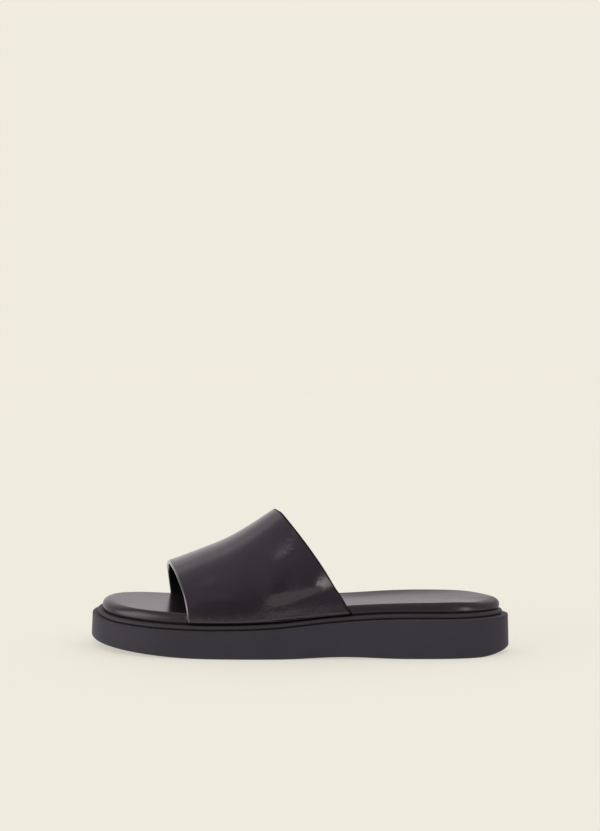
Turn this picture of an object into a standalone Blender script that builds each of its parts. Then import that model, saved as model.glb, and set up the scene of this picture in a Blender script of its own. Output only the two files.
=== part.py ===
"""Black slide sandal for the left foot: outsole, midsole, padded footbed and a one-piece leather upper.

The toe points to -X, the outer (lateral) side of the foot is -Y, the inner (medial) side +Y, up is +Z.
The origin is on the floor, under the middle of the sole's box. Units are metres.
"""

import math
from collections import namedtuple

import bmesh
import bpy
import numpy as np

MM = 0.001

# Sole outline and stack
SOLE_LENGTH = 264 * MM
SOLE_WIDTH = 95 * MM
LAYER_GAP = 0.3 * MM
MIDSOLE_HEIGHT = 2.8 * MM
FOOTBED_HEIGHT_TOE = 6.6 * MM
FOOTBED_HEIGHT_HEEL = 5.8 * MM

# Outsole: the underside is flat at the ball and the heel, and lifts at the toe, waist and heel edge
TOE_SPRING = 5.8 * MM
TOE_SPRING_START = -50 * MM
WAIST_LIFT = 1.1 * MM
WAIST_START = -10 * MM
WAIST_END = 70 * MM
HEEL_BEVEL = 3.5 * MM
HEEL_BEVEL_START = 113 * MM
WALL_DRAFT = 0.6 * MM
BOTTOM_ROUND = 1.6 * MM
RIM_ROUND = 0.6 * MM

# Setback of the upper layers from the outsole's widest line, at the toe tip and at the back of the heel
MIDSOLE_SETBACK_TOE = 3.7 * MM
MIDSOLE_SETBACK_HEEL = 4.2 * MM
FOOTBED_SETBACK_TOE = 7.0 * MM
FOOTBED_SETBACK_HEEL = 7.6 * MM
FOOTBED_EDGE_ROUND = 2.4 * MM
FOOTBED_TOE_ROLL = 4.8 * MM
TOE_ROLL_START = -98 * MM
FOOTBED_UNDERCUT = 1.7 * MM
FOOTBED_UNDERCUT_HEIGHT = 1.6 * MM
HEEL_CUP_DEPTH = 2.6 * MM
HEEL_CUP_START = -20 * MM
HEEL_CUP_FULL = 70 * MM
TOE_CROWN = 0.8 * MM
TOE_CROWN_START = -20 * MM
TOE_CROWN_FULL = -70 * MM

# Upper: one wall of leather and lining, turned under the footbed
UPPER_WALL = 2.0 * MM
LASTING_MARGIN = 11 * MM
LASTING_BEND = 0.8 * MM
REBATE_CLEAR = 0.35 * MM
REBATE_END = 0.9 * MM
SIDE_FULLNESS = 2.15
RIDGE_SETOVER = 4 * MM

# Mesh density
EDGE_STATIONS = 44
SPINE_SHARE = 0.62
FILL_SHARES = (0.75, 0.5, 0.25, 0.0)
FOOTBED_TOP_SHARES = (0.88, 0.72, 0.5, 0.25, 0.0)
UPPER_ROWS = 18
ARCH_COLUMNS = 13

EdgePoint = namedtuple("EdgePoint", "along across")
SOLE_OUTLINE = (
    EdgePoint(along=-132.0 * MM, across=11.0 * MM),  # toe tip
    EdgePoint(along=-124.5 * MM, across=35.5 * MM),  # big toe
    EdgePoint(along=-91.0 * MM, across=46.0 * MM),
    EdgePoint(along=-48.0 * MM, across=47.5 * MM),  # inner ball
    EdgePoint(along=-5.0 * MM, across=38.5 * MM),
    EdgePoint(along=36.0 * MM, across=31.5 * MM),  # inner waist
    EdgePoint(along=86.0 * MM, across=34.0 * MM),  # inner heel
    EdgePoint(along=117.0 * MM, across=22.0 * MM),
    EdgePoint(along=132.0 * MM, across=-2.5 * MM),  # back of the heel
    EdgePoint(along=118.0 * MM, across=-24.0 * MM),
    EdgePoint(along=84.0 * MM, across=-34.5 * MM),  # outer heel
    EdgePoint(along=32.0 * MM, across=-38.5 * MM),  # outer waist
    EdgePoint(along=-8.0 * MM, across=-44.5 * MM),
    EdgePoint(along=-46.0 * MM, across=-47.5 * MM),  # outer ball
    EdgePoint(along=-86.0 * MM, across=-43.5 * MM),
    EdgePoint(along=-119.5 * MM, across=-25.0 * MM),  # little toe
)

Height = namedtuple("Height", "along height")
OUTSOLE_TOP = (
    Height(along=-132 * MM, height=21.3 * MM),
    Height(along=-118 * MM, height=19.4 * MM),
    Height(along=-100 * MM, height=18.3 * MM),
    Height(along=-76 * MM, height=17.4 * MM),
    Height(along=-44 * MM, height=17.3 * MM),
    Height(along=-14 * MM, height=18.4 * MM),
    Height(along=24 * MM, height=22.1 * MM),
    Height(along=56 * MM, height=24.3 * MM),
    Height(along=92 * MM, height=25.0 * MM),
    Height(along=132 * MM, height=24.6 * MM),
)
# Top of the last, along the ridge of the instep
RIDGE = (
    Height(along=-90 * MM, height=48.9 * MM),
    Height(along=-82 * MM, height=51.6 * MM),
    Height(along=-63 * MM, height=58.9 * MM),
    Height(along=-44 * MM, height=67.1 * MM),
    Height(along=-30 * MM, height=75.4 * MM),
    Height(along=-16 * MM, height=84.8 * MM),
    Height(along=10 * MM, height=101.0 * MM),
    Height(along=44 * MM, height=116.5 * MM),
)

# Front and back edges of the upper. The turn is 0 at the ridge, 1 where the side springs from the footbed's
# edge and 1.2 at the feather edge below; it is negative on the outer side.
CutEdge = namedtuple("CutEdge", "turn front back")
FEATHER_TURN = 1.2
UPPER_EDGES = (
    CutEdge(turn=-1.2, front=-65.3 * MM, back=33.8 * MM),
    CutEdge(turn=-1.0, front=-65.6 * MM, back=31.7 * MM),
    CutEdge(turn=-0.9, front=-66.4 * MM, back=23.9 * MM),
    CutEdge(turn=-0.8, front=-67.6 * MM, back=17.3 * MM),
    CutEdge(turn=-0.6, front=-71.2 * MM, back=5.7 * MM),
    CutEdge(turn=-0.4, front=-75.2 * MM, back=-3.7 * MM),
    CutEdge(turn=-0.2, front=-79.2 * MM, back=-10.2 * MM),
    CutEdge(turn=0.0, front=-82.4 * MM, back=-14.8 * MM),
    CutEdge(turn=0.2, front=-84.2 * MM, back=-15.8 * MM),
    CutEdge(turn=0.4, front=-85.6 * MM, back=-12.5 * MM),
    CutEdge(turn=0.6, front=-86.6 * MM, back=-6.5 * MM),
    CutEdge(turn=0.8, front=-86.7 * MM, back=4.0 * MM),
    CutEdge(turn=1.0, front=-85.6 * MM, back=19.0 * MM),
    CutEdge(turn=1.2, front=-85.2 * MM, back=21.5 * MM),
)

Finish = namedtuple("Finish", "colour roughness")
RUBBER = Finish(colour=(0.018, 0.017, 0.019), roughness=0.62)
RAND = Finish(colour=(0.016, 0.015, 0.016), roughness=0.5)
SOCK_LEATHER = Finish(colour=(0.022, 0.020, 0.021), roughness=0.48)
UPPER_LEATHER = Finish(colour=(0.014, 0.012, 0.013), roughness=0.34)


def through(rows, column, along):
    """A smooth curve through one column of a table, read at places along the table's first column."""
    places = np.array([row[0] for row in rows])
    values = np.array([getattr(row, column) for row in rows])
    slopes = np.gradient(values, places)
    along = np.clip(along, places[0], places[-1])
    left = np.clip(np.searchsorted(places, along, side="right") - 1, 0, len(places) - 2)
    span = places[left + 1] - places[left]
    t = (along - places[left]) / span
    return (
        (1 + 2 * t) * (1 - t) ** 2 * values[left]
        + t * (1 - t) ** 2 * span * slopes[left]
        + t**2 * (3 - 2 * t) * values[left + 1]
        + t**2 * (t - 1) * span * slopes[left + 1]
    )


def smooth_step(value, start, end):
    t = np.clip((value - start) / (end - start), 0.0, 1.0)
    return t * t * (3 - 2 * t)


def closed_spline(points, samples):
    """A closed cubic spline through the points, with no jump in curvature."""
    points = np.array(points)
    count = len(points)
    ahead = np.roll(points, -1, axis=0) - points
    span = np.linalg.norm(ahead, axis=1)
    before = np.roll(span, 1)
    rows = np.arange(count)
    system = np.zeros((count, count))
    system[rows, rows] = 2 * (before + span)
    system[rows, (rows - 1) % count] = before
    system[rows, (rows + 1) % count] = span
    slope = ahead / span[:, None]
    bend = np.linalg.solve(system, 6 * (slope - np.roll(slope, 1, axis=0)))
    curve = []
    for k in range(count):
        after = (k + 1) % count
        t = np.linspace(0, 1, samples, endpoint=False)[:, None]
        u = 1 - t
        curve.append(
            u * points[k]
            + t * points[after]
            + span[k] ** 2 / 6 * ((u**3 - u) * bend[k] + (t**3 - t) * bend[after])
        )
    return np.concatenate(curve)


class SoleOutline:
    """The outsole's widest line, at its stated length and width, centred on the origin."""

    def __init__(self):
        curve = closed_spline(SOLE_OUTLINE, samples=160)
        low = curve.min(axis=0)
        high = curve.max(axis=0)
        stated = np.array([SOLE_LENGTH, SOLE_WIDTH])
        curve = (curve - (low + high) / 2) / (high - low) * stated
        curve = np.roll(curve, -int(curve[:, 0].argmin()), axis=0)
        tangent = np.roll(curve, -1, axis=0) - np.roll(curve, 1, axis=0)
        tangent /= np.linalg.norm(tangent, axis=1)[:, None]
        self.curve = curve
        self.normal = np.stack([-tangent[:, 1], tangent[:, 0]], axis=1)
        self.heel = int(curve[:, 0].argmax())

    def inward(self, setback):
        """The whole curve moved in by a setback, which may vary along it."""
        return self.curve - self.normal * np.reshape(setback, (-1, 1))

    def stations(self, extra=()):
        """Places on the curve, in order: toe tip, inner side, heel, outer side. The two sides are paired."""
        angles = np.arange(1, EDGE_STATIONS) * math.pi / EDGE_STATIONS
        along = np.sort(np.concatenate([-SOLE_LENGTH / 2 * np.cos(angles), extra]))
        inner = self.curve[: self.heel + 1, 0]
        outer = self.curve[self.heel :, 0]
        inner_places = np.searchsorted(inner, along)
        outer_places = self.heel + np.searchsorted(-outer, -along[::-1])
        return np.concatenate([[0], inner_places, [self.heel], outer_places])

    def feather(self, along, side, inward=0.0):
        """A point on the inner face of the upper at its foot, on the outer (-1) or inner (1) side.

        The place along the foot is read at the feather edge; inward moves the point square to the edge.
        """
        setback = footbed_setback(self.curve[:, 0]) - LAYER_GAP
        place = self.feather_place(along, side)
        return self.inward(setback + inward)[place]

    def feather_place(self, along, side):
        """The curve's sample at which the feather edge reaches a place along the foot."""
        setback = footbed_setback(self.curve[:, 0]) - LAYER_GAP
        line = self.inward(setback)[:, 0]
        if side > 0:
            return int(np.searchsorted(line[: self.heel], along))
        return self.heel + int(np.searchsorted(-line[self.heel :], -along))


OUTLINE = SoleOutline()


def toe_to_heel(along, toe, heel):
    """A value that changes evenly from the toe tip to the back of the heel."""
    return toe + (heel - toe) * (along + SOLE_LENGTH / 2) / SOLE_LENGTH


def footbed_setback(along):
    """How far the footbed's side stands in from the outsole's widest line."""
    return toe_to_heel(along, FOOTBED_SETBACK_TOE, FOOTBED_SETBACK_HEEL)


def midsole_setback(along):
    """The midsole's edge stands just outside the turned-under upper."""
    return toe_to_heel(along, MIDSOLE_SETBACK_TOE, MIDSOLE_SETBACK_HEEL)


def underside(along):
    """Height of the outsole's underside above the floor."""
    toe = np.clip((TOE_SPRING_START - along) / (SOLE_LENGTH / 2 + TOE_SPRING_START), 0, 1)
    heel = np.clip((along - HEEL_BEVEL_START) / (SOLE_LENGTH / 2 - HEEL_BEVEL_START), 0, 1)
    waist = np.clip((along - WAIST_START) / (WAIST_END - WAIST_START), 0, 1)
    return TOE_SPRING * toe**2 + HEEL_BEVEL * heel**2 + WAIST_LIFT * np.sin(math.pi * waist) ** 2


def outsole_top(along):
    """Height of the outsole's ledge, which carries the midsole."""
    return through(OUTSOLE_TOP, "height", along)


def midsole_top(along):
    return outsole_top(along) + LAYER_GAP + MIDSOLE_HEIGHT


def footbed_edge(along):
    """Height of the footbed's top edge."""
    return midsole_top(along) + LAYER_GAP + toe_to_heel(along, FOOTBED_HEIGHT_TOE, FOOTBED_HEIGHT_HEEL)


def footbed_round(along):
    """Radius of the footbed's top edge, which rolls over more at the toe tip."""
    roll = smooth_step(-along, -TOE_ROLL_START, SOLE_LENGTH / 2)
    return FOOTBED_EDGE_ROUND + (FOOTBED_TOE_ROLL - FOOTBED_EDGE_ROUND) * roll


class Rings:
    """Closed loops round the sole, one above or inside the other, skinned into a solid."""

    def __init__(self, extra_stations=()):
        self.places = OUTLINE.stations(extra_stations)
        self.edge = OUTLINE.curve[self.places]
        self.normal = OUTLINE.normal[self.places]
        self.along = self.edge[:, 0]
        partner = -np.arange(len(self.places))
        self.spine = (self.edge + self.edge[partner]) / 2 * np.array([SPINE_SHARE, 1.0])
        self.loops = []

    def inset(self, setback):
        return self.edge - self.normal * np.reshape(np.broadcast_to(setback, self.along.shape), (-1, 1))

    def add(self, flat, height):
        """Adds a loop of plan points at the heights that a function or an array gives."""
        tall = height(flat[:, 0]) if callable(height) else height
        self.loops.append(np.column_stack([flat, np.broadcast_to(tall, len(flat))]))

    def shrunk(self, border, share):
        """A border drawn in towards the spine of the foot."""
        return self.spine + share * (border - self.spine)

    def fill(self, border, height, shares=FILL_SHARES):
        """Adds loops between a border and the spine of the foot."""
        for share in shares:
            self.add(self.shrunk(border, share), height)

    def solid(self, name, finish):
        mesh = bmesh.new()
        rows = [[mesh.verts.new(point) for point in loop] for loop in self.loops]
        for lower, upper in zip(rows, rows[1:]):
            for k in range(len(lower)):
                after = (k + 1) % len(lower)
                mesh.faces.new((lower[k], lower[after], upper[after], upper[k]))
        bmesh.ops.remove_doubles(mesh, verts=mesh.verts, dist=0.001 * MM)
        bmesh.ops.dissolve_degenerate(mesh, edges=mesh.edges, dist=0.001 * MM)
        bmesh.ops.recalc_face_normals(mesh, faces=mesh.faces)
        return finished(name, mesh, finish)


def paint(name, finish):
    material = bpy.data.materials.new(name)
    material.use_nodes = True
    shader = material.node_tree.nodes["Principled BSDF"]
    shader.inputs["Base Color"].default_value = (*finish.colour, 1.0)
    shader.inputs["Roughness"].default_value = finish.roughness
    shader.inputs["Metallic"].default_value = 0.0
    return material


def finished(name, mesh, finish, smooth_angle=math.radians(40)):
    """Turns a bmesh into a named, shaded object in the sandal's collection."""
    data = bpy.data.meshes.new(name)
    mesh.to_mesh(data)
    mesh.free()
    data.shade_smooth()
    data.set_sharp_from_angle(angle=smooth_angle)
    data.materials.append(paint(f"{name}_finish", finish))
    thing = bpy.data.objects.new(name, data)
    bpy.data.collections["slide_sandal"].objects.link(thing)
    return thing


def quarter_round(steps):
    """Shares across and up a quarter circle, from its foot to its side."""
    return [(math.sin(a), 1 - math.cos(a)) for a in np.linspace(0, math.pi / 2, steps + 1)]


def make_outsole():
    """Moulded rubber unit: rounded underside edge, drafted wall, and a flat ledge round the midsole."""
    rings = Rings()
    sole_edge = rings.inset(BOTTOM_ROUND)
    rings.fill(sole_edge, underside, FILL_SHARES[::-1])
    for out, up in quarter_round(3):
        flat = rings.inset(BOTTOM_ROUND * (1 - out))
        rings.add(flat, underside(flat[:, 0]) + BOTTOM_ROUND * up)
    for out, up in reversed(quarter_round(2)):
        flat = rings.inset(WALL_DRAFT + RIM_ROUND * (1 - out))
        rings.add(flat, outsole_top(flat[:, 0]) - RIM_ROUND * up)
    ledge = rings.inset(midsole_setback(rings.along))
    rings.add(ledge, outsole_top)
    rings.fill(ledge, outsole_top)
    return rings.solid("outsole", RUBBER)


def make_midsole():
    """Thin board under the footbed; its round edge shows all round as a bead."""
    rings = Rings()
    setback = midsole_setback(rings.along)
    radius = MIDSOLE_HEIGHT / 2
    rings.fill(rings.inset(setback + radius), lambda x: outsole_top(x) + LAYER_GAP, FILL_SHARES[::-1])
    for angle in np.radians(np.linspace(-90, 90, 7)):
        flat = rings.inset(setback + radius * (1 - math.cos(angle)))
        rings.add(flat, outsole_top(flat[:, 0]) + LAYER_GAP + radius * (1 + math.sin(angle)))
    rings.fill(rings.inset(setback + radius), midsole_top)
    return rings.solid("midsole", RAND)


def upper_span(turn, column):
    """Where the upper's front or back edge lies along the foot."""
    return through(UPPER_EDGES, column, turn)


def lasting_clearance(rings):
    """Rebate under the footbed's edge, where the upper's margin lies."""
    turn = np.where(rings.places <= OUTLINE.heel, FEATHER_TURN, -FEATHER_TURN)
    along = rings.inset(footbed_setback(rings.along) - LAYER_GAP)[:, 0]
    reach = (REBATE_CLEAR + REBATE_END) / 2
    inside = (along > upper_span(turn, "front") - reach) & (along < upper_span(turn, "back") + reach)
    return np.where(inside, UPPER_WALL + LAYER_GAP, 0.0)


def rebate_stations():
    """Extra places along the sole, on both sides of each corner of the upper's margins."""
    found = []
    for turn in (-FEATHER_TURN, FEATHER_TURN):
        for step in (REBATE_CLEAR, REBATE_END):
            for corner in (upper_span(turn, "front") - step, upper_span(turn, "back") + step):
                found.append(OUTLINE.curve[OUTLINE.feather_place(corner, turn), 0])
    return found


def footbed_surface(along, share):
    """Top of the padded footbed: a shallow cup at the heel and a slight crown under the toes."""
    cup = HEEL_CUP_DEPTH * smooth_step(along, HEEL_CUP_START, HEEL_CUP_FULL)
    crown = TOE_CROWN * smooth_step(-along, -TOE_CROWN_START, -TOE_CROWN_FULL)
    return footbed_edge(along) + (crown - cup) * (1 - share**2)


def make_footbed():
    """Foam and board wrapped in leather, with rolled edges and a rebate for the upper's margins."""
    rings = Rings(extra_stations=rebate_stations())
    rebate = lasting_clearance(rings)
    side = footbed_setback(rings.along)

    def base(along):
        return midsole_top(along) + LAYER_GAP

    rings.fill(rings.inset(side + LASTING_MARGIN + REBATE_END), base, FILL_SHARES[::-1])
    for setback, rise in (
        (side + LASTING_MARGIN + REBATE_CLEAR, rebate),
        (side + FOOTBED_UNDERCUT, rebate),
        (side, rebate + FOOTBED_UNDERCUT_HEIGHT),
    ):
        flat = rings.inset(setback)
        rings.add(flat, base(flat[:, 0]) + rise)
    radius = footbed_round(rings.along)
    for out, up in reversed(quarter_round(3)):
        flat = rings.inset(side + radius * (1 - out))
        rings.add(flat, footbed_edge(flat[:, 0]) - radius * up)
    border = rings.inset(side + radius)
    for share in FOOTBED_TOP_SHARES:
        flat = rings.shrunk(border, share)
        rings.add(flat, footbed_surface(flat[:, 0], share))
    return rings.solid("footbed", SOCK_LEATHER)


def last_section(along, turn):
    """Across and height of a point of the last, at a place along the foot and a turn of its section."""
    feather = OUTLINE.feather(along, math.copysign(1.0, turn))[1]
    ridge = float(through(RIDGE, "height", along))
    spring = float(footbed_edge(along)) - FOOTBED_EDGE_ROUND
    angle = (1 - abs(turn)) * math.pi / 2
    reach = math.cos(angle) ** (2 / SIDE_FULLNESS)
    rise = math.sin(angle) ** (2 / SIDE_FULLNESS)
    return RIDGE_SETOVER + (feather - RIDGE_SETOVER) * reach, spring + (ridge - spring) * rise


def lasted_margin(along, side):
    """The wall's way from under the footbed, round the feather edge and up its side."""
    path = [(LASTING_MARGIN, 0.0), (LASTING_MARGIN / 2, 0.0)]
    for out, up in quarter_round(3):
        path.append((LASTING_BEND * (1 - out), LASTING_BEND * up))
    points = []
    for inward, up in path:
        x, y = OUTLINE.feather(along, side, inward)
        points.append((x, y, midsole_top(x) + LAYER_GAP + UPPER_WALL + up))
    return points


def upper_column(turn, shares):
    """Points from the front edge to the back edge at one turn of the section."""
    front = float(upper_span(turn, "front"))
    back = float(upper_span(turn, "back"))
    places = front + (back - front) * shares
    return [(x, *last_section(x, turn)) for x in places]


def margin_columns(side, shares):
    """Columns of the turned-under margin on one side, from its free end to the feather edge."""
    front = float(upper_span(side * FEATHER_TURN, "front"))
    back = float(upper_span(side * FEATHER_TURN, "back"))
    places = front + (back - front) * shares
    return list(zip(*[lasted_margin(x, side) for x in places]))


def make_upper():
    """One wall over the last, from the outer lasting margin to the inner one, open at toe and heel."""
    shares = np.linspace(0, 1, UPPER_ROWS + 1)
    arch = np.linspace(-1, 1, 2 * ARCH_COLUMNS + 1)
    columns = margin_columns(-1.0, shares)
    columns += [upper_column(turn, shares) for turn in arch]
    columns += margin_columns(1.0, shares)[::-1]
    mesh = bmesh.new()
    grid = [[mesh.verts.new(point) for point in column] for column in columns]
    for left, right in zip(grid, grid[1:]):
        for k in range(len(shares) - 1):
            mesh.faces.new((left[k], left[k + 1], right[k + 1], right[k]))
    bmesh.ops.recalc_face_normals(mesh, faces=mesh.faces)
    upper = finished("upper", mesh, UPPER_LEATHER)
    wall = upper.modifiers.new("leather_and_lining", "SOLIDIFY")
    wall.thickness = UPPER_WALL
    wall.offset = 1.0
    wall.use_even_offset = True
    return upper


def main():
    for thing in list(bpy.data.objects):
        bpy.data.objects.remove(thing)
    collection = bpy.data.collections.new("slide_sandal")
    bpy.context.scene.collection.children.link(collection)
    make_outsole()
    make_midsole()
    make_footbed()
    make_upper()


main()
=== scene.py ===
# %% [markdown]
# # A leather slide sandal, left foot
#
# The sandal is a thick moulded sole, a thin midsole whose round edge shows as a bead, a padded
# footbed and one wide leather band over the instep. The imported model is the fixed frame: it says
# where each piece lies and how large it is. This lesson makes the finished surface of every piece
# around that frame. The toe points to -X, the outer side of the foot to -Y, and up is +Z.

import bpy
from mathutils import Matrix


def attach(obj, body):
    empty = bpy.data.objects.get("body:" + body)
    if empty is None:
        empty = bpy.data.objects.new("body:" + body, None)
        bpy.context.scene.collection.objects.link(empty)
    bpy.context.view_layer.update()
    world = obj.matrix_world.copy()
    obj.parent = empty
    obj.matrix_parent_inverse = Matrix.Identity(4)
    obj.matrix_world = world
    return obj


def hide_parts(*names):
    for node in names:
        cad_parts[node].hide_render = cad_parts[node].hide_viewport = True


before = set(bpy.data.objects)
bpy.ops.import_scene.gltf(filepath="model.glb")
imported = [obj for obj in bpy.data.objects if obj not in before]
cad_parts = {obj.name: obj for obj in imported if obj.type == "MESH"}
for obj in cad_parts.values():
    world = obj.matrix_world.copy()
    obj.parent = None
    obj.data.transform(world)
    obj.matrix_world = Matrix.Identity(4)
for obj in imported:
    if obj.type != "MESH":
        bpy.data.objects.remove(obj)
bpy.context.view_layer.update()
print("nodes:", ", ".join(sorted(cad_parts)))

# %% [markdown]
# ## Camera
#
# The view is from the outer side, a little above the floor, with a long lens, as in a shop
# photograph. A camera can be placed by eye or by a Track To constraint; here it stands at an angle
# and a distance from a point inside the sandal, and is then tilted until that point falls on its
# place in the picture. That keeps the lens shift at zero, so that other views need nothing undone.

# %% Camera
import math

import bmesh
import bpy
import numpy as np
from mathutils import Quaternion, Vector

IMAGE_WIDTH, IMAGE_HEIGHT = 600, 831  # pixels
FOCAL_LENGTH = 2457  # pixels
SENSOR = 36.0  # mm along the picture's long side
AIM = Vector((0.0, 0.0, 0.030))  # m
AIM_PIXEL = (298.4, 600.2)
AZIMUTH, ELEVATION, ROLL = (math.radians(angle) for angle in (4.0, 9.2, 0.2))
DISTANCE = 1.55  # m

lens = bpy.data.cameras.new("camera")
lens.sensor_width = SENSOR
lens.lens = FOCAL_LENGTH / max(IMAGE_WIDTH, IMAGE_HEIGHT) * SENSOR
camera = bpy.data.objects.new("camera", lens)
bpy.context.scene.collection.objects.link(camera)
bpy.context.scene.camera = camera

level_way = Vector((math.sin(AZIMUTH), -math.cos(AZIMUTH), 0.0))
away = level_way * math.cos(ELEVATION) + Vector((0.0, 0.0, math.sin(ELEVATION)))
tilt = math.atan((AIM_PIXEL[1] - IMAGE_HEIGHT / 2) / FOCAL_LENGTH)
pan = math.atan((AIM_PIXEL[0] - IMAGE_WIDTH / 2) / FOCAL_LENGTH * math.cos(tilt))
camera.location = AIM + away * DISTANCE
camera.rotation_mode = "QUATERNION"
camera.rotation_quaternion = (
    (-away).to_track_quat("-Z", "Y")
    @ Quaternion((0, 0, 1), ROLL)
    @ Quaternion((1, 0, 0), tilt)
    @ Quaternion((0, 1, 0), pan)
)
print(f"camera: {lens.lens:.1f} mm lens, {DISTANCE} m away")

# %% [markdown]
# ## Nodes and colours
#
# Every material below is a small tree of nodes. One function adds a node, sets its own properties
# and either fills or links its inputs, so that a tree reads from top to bottom. Colours are written
# as sRGB hex values, the way a colour picker shows them, and turned to the linear values that a
# shader works in. Every finish ends in the same way, with two close tones and one shader, so that
# ending is a function too.

# %% Helpers for node trees
MM = 0.001


def linear(code):
    """An sRGB hex colour as linear RGBA."""
    channels = [int(code[k : k + 2], 16) / 255 for k in (1, 3, 5)]
    curved = [c / 12.92 if c <= 0.04045 else ((c + 0.055) / 1.055) ** 2.4 for c in channels]
    return (*curved, 1.0)


def add(tree, kind, inputs=None, **settings):
    """Adds a node; an input is a value or the socket that feeds it."""
    node = tree.nodes.new(kind)
    for name, value in settings.items():
        setattr(node, name, value)
    for key, value in (inputs or {}).items():
        if isinstance(value, bpy.types.NodeSocket):
            tree.links.new(value, node.inputs[key])
        else:
            node.inputs[key].default_value = value
    return node


def blank_material(name):
    """A material with an empty tree, and the coordinates that its patterns can read."""
    material = bpy.data.materials.new(name)
    material.use_nodes = True
    tree = material.node_tree
    tree.nodes.clear()
    return material, tree, add(tree, "ShaderNodeTexCoord").outputs


def scale_of(size):
    """The scale of a pattern whose cells have a real size in millimetres."""
    return 1 / (size * MM)


def sized(place, size, **more):
    """The inputs of a pattern that lies on the object at a real size in millimetres."""
    return {"Vector": place["Object"], "Scale": scale_of(size), **more}


def surface(material, tones, pattern, reliefs, inputs):
    """Ends a material: a pattern mixes two tones, and each relief bumps what lies under it."""
    tree = material.node_tree
    colour = add(tree, "ShaderNodeValToRGB", {"Fac": pattern})
    for stop, code in zip(colour.color_ramp.elements, tones):
        stop.color = linear(code)
    made = {"Base Color": colour.outputs["Color"]}
    bumped = {}
    for height, strength, depth in reliefs:  # the depth is in millimetres
        relief = {"Height": height, "Strength": strength, "Distance": depth * MM}
        bumped = {"Normal": add(tree, "ShaderNodeBump", {**relief, **bumped}).outputs["Normal"]}
    shader = add(tree, "ShaderNodeBsdfPrincipled", {**made, **bumped, **inputs})
    add(tree, "ShaderNodeOutputMaterial", {"Surface": shader.outputs["BSDF"]})
    return material


print("linear mid grey:", [round(c, 3) for c in linear("#808080")[:3]])

# %% [markdown]
# ## Floor and studio light
#
# The sandal stands on a cream sheet that runs into the background with no line between them, and it
# hardly casts a shadow. Such a floor is a translucent sheet lit from below and from above, so it
# both glows and takes light, and it fades into the background far from the sandal. Polished black
# leather shows little but what it mirrors, so the room matters more than the lamps: an even white
# tent all round, a darker patch where the camera stands, and a tall soft lamp at either side of it.
# All of that is drawn on the world by direction, which lights the near and the far floor alike, as
# area lamps would not. Only the table's top is mirrored; the sheet beyond it is hidden from glossy
# rays.

# %% Floor
CREAM = "#F0EBDF"
TABLE_RADIUS, SHEET_RADIUS = 0.19, 3.0  # m
FLOOR_FADE = (0.8, 2.8)  # m, where the sheet starts and ends to melt into the background
FLOOR_GLOW = 0.60  # share of the floor's light that comes through the sheet
FLOOR_WHITE = "#B6BBAD"  # what the sheet sends back of the light from above

# Cast with a white filler and lit from below: it glows evenly and hardly shows a shadow
sheet, tree, place = blank_material("translucent_acrylic_sheet")
radius = add(tree, "ShaderNodeVectorMath", {0: place["Object"]}, operation="LENGTH").outputs["Value"]
melt = add(
    tree,
    "ShaderNodeMapRange",
    {"Value": radius, "From Min": FLOOR_FADE[0], "From Max": FLOOR_FADE[1]},
    interpolation_type="SMOOTHSTEP",
).outputs["Result"]
glow = add(tree, "ShaderNodeEmission", {"Color": linear(CREAM), "Strength": FLOOR_GLOW})
matt = add(tree, "ShaderNodeBsdfDiffuse", {"Color": linear(FLOOR_WHITE)})
both = add(tree, "ShaderNodeAddShader", {0: glow.outputs[0], 1: matt.outputs[0]})
clear = add(tree, "ShaderNodeBsdfTransparent")
mixed = add(tree, "ShaderNodeMixShader", {"Fac": melt, 1: both.outputs[0], 2: clear.outputs[0]})
add(tree, "ShaderNodeOutputMaterial", {"Surface": mixed.outputs[0]})


def stage_ring(name, inner, outer, sides=96):
    """A flat ring of floor, or a disc where the inner radius is 0."""
    shape = bmesh.new()
    bmesh.ops.create_circle(shape, cap_ends=inner == 0, segments=sides, radius=outer)
    if inner:
        bmesh.ops.create_circle(shape, segments=sides, radius=inner)
        bmesh.ops.bridge_loops(shape, edges=shape.edges)
    mesh = bpy.data.meshes.new(name)
    shape.to_mesh(mesh)
    shape.free()
    mesh.materials.append(sheet)
    ring = bpy.data.objects.new(name, mesh)
    bpy.context.scene.collection.objects.link(ring)
    return ring


stage_ring("table_top", 0.0, TABLE_RADIUS)
stage_ring("sheet_beyond", TABLE_RADIUS, SHEET_RADIUS).visible_glossy = False
print("table:", 2 * TABLE_RADIUS, "m across, sheet:", 2 * SHEET_RADIUS, "m across")

# %% Studio light
TENT, WARM = "#F2EAED", "#FDFBE4"
TENT_LIGHT = (0.53, 0.92)  # in front of the sandal and behind it
# Each lamp: azimuth from straight behind the sandal, elevation, half width and half height in degrees,
# the light that it adds to the tent or takes from it, and its colour
LAMPS = (
    (168, 4, 32, 24, -0.12, TENT),  # the side of the room where the camera stands
    (178, -1, 13, 12, -0.13, TENT),  # the camera itself
    (-117, 4, 28, 14, 3.3, TENT),  # wide soft lamp on the left
    (140, -3, 8, 9, 3.4, WARM),  # narrow lamp on the right
    (125, -9, 26, 6, 0.6, TENT),  # white card lying below it
    (-50, 46, 12, 8, 0.32, TENT),  # lamp behind, which draws the line along the ridge
    (30, 40, 24, 11, 0.5, TENT),  # lamp behind on the right, which lights the end of the heel
    (200, 66, 9, 12, 1.1, TENT),  # lamp above
)
LAMP_EDGE = (0.65, 1.35)  # where a lamp starts and ends to fade, as a share of its half size
FAR_SIDE = 10.0  # keeps a lamp from showing a second time on the opposite side of the room

world = bpy.data.worlds.new("studio")
world.use_nodes = True
tree = world.node_tree
tree.nodes.clear()
toward = add(tree, "ShaderNodeTexCoord").outputs["Generated"]
depth = add(tree, "ShaderNodeSeparateXYZ", {0: toward}).outputs["Y"]
level = add(
    tree,
    "ShaderNodeMapRange",
    {"Value": depth, "From Min": -1.0, "To Min": TENT_LIGHT[0], "To Max": TENT_LIGHT[1]},
).outputs["Result"]


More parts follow.
